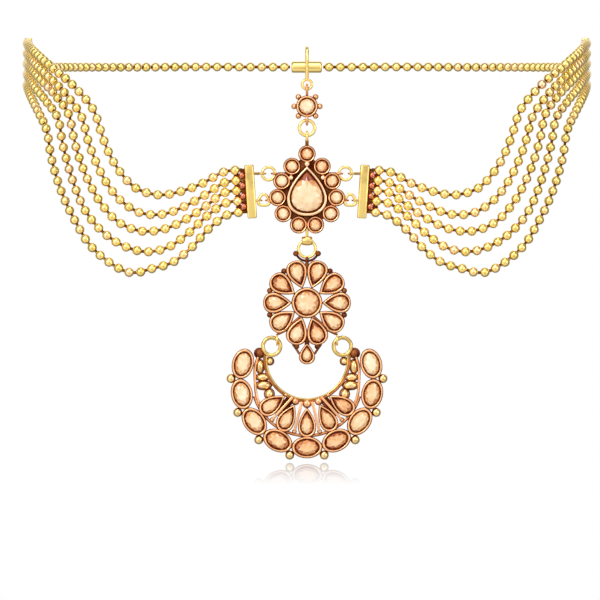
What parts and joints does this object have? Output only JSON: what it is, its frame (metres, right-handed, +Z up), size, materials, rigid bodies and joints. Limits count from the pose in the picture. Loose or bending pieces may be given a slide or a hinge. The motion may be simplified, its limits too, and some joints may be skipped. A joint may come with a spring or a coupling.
{
  "type": "layered head chain",
  "caption": "Gold-tone head chain: stone-set brooch with draped layers of ball chain to each side, a hanging flower and crescent pendant below and a hair hook above.",
  "frame": {"origin": "crest of the hair hook, where it hangs in the hair", "axes": "+Z up, +X to the viewer's right of the front, the front of the jewel faces -Y and the head lies toward +Y"},
  "size_m": [0.1442, 0.1938, 0.1067],
  "materials": {
    "bright_gold": "polished gold-tone plating",
    "antique_gold": "antique gold with dark red-brown recesses",
    "peach_stone": "foil-backed cut glass, peach"
  },
  "bodies": {
    "head_chain": {"brooch_setting": "antique_gold", "brooch_pear_stone": "peach_stone", "link_ring_upper_left": "bright_gold", "link_ring_lower_left": "bright_gold", "link_ring_upper_right": "bright_gold", "link_ring_lower_right": "bright_gold", "spacer_bar_left": "bright_gold", "spacer_bar_right": "bright_gold", "strand_left_1": "bright_gold", "strand_left_2": "bright_gold", "strand_left_3": "bright_gold", "strand_left_4": "bright_gold", "strand_left_5": "bright_gold", "strand_right_1": "bright_gold", "strand_right_2": "bright_gold", "strand_right_3": "bright_gold", "strand_right_4": "bright_gold", "strand_right_5": "bright_gold", "end_bar_left": "bright_gold", "end_bar_right": "bright_gold", "back_chain_left": "bright_gold", "back_chain_right": "bright_gold", "clasp": "bright_gold", "top_ring": "bright_gold", "top_motif_setting": "antique_gold", "top_motif_stone": "peach_stone", "hair_hook": "bright_gold"},
    "flower": {"flower_setting": "antique_gold", "flower_centre_stone": "peach_stone", "flower_drop_stone": "peach_stone", "petal_stone_1": "peach_stone", "petal_stone_2": "peach_stone", "petal_stone_3": "peach_stone", "petal_stone_4": "peach_stone", "petal_stone_5": "peach_stone", "petal_stone_6": "peach_stone", "petal_stone_7": "peach_stone", "petal_stone_8": "peach_stone", "petal_stone_9": "peach_stone", "petal_stone_10": "peach_stone"},
    "crescent": {"crescent_setting": "antique_gold", "crescent_oval_stone_1": "peach_stone", "crescent_oval_stone_2": "peach_stone", "crescent_oval_stone_3": "peach_stone", "crescent_oval_stone_4": "peach_stone", "crescent_oval_stone_5": "peach_stone", "crescent_oval_stone_6": "peach_stone", "crescent_oval_stone_7": "peach_stone", "crescent_oval_stone_8": "peach_stone", "crescent_oval_stone_9": "peach_stone", "crescent_pear_stone_1": "peach_stone", "crescent_pear_stone_2": "peach_stone", "crescent_pear_stone_3": "peach_stone", "crescent_pear_stone_4": "peach_stone", "crescent_pear_stone_5": "peach_stone"}
  },
  "joints": [
    {"name": "flower_swing", "type": "hinge", "parent": "head_chain", "child": "flower", "pos_m": [0, -0.0005, -0.0482], "axis": [1, 0, 0], "range_deg": [-60, 60]},
    {"name": "crescent_swing", "type": "hinge", "parent": "flower", "child": "crescent", "pos_m": [0, -0.0005, -0.0729], "axis": [1, 0, 0], "range_deg": [-45, 45]}
  ]
}
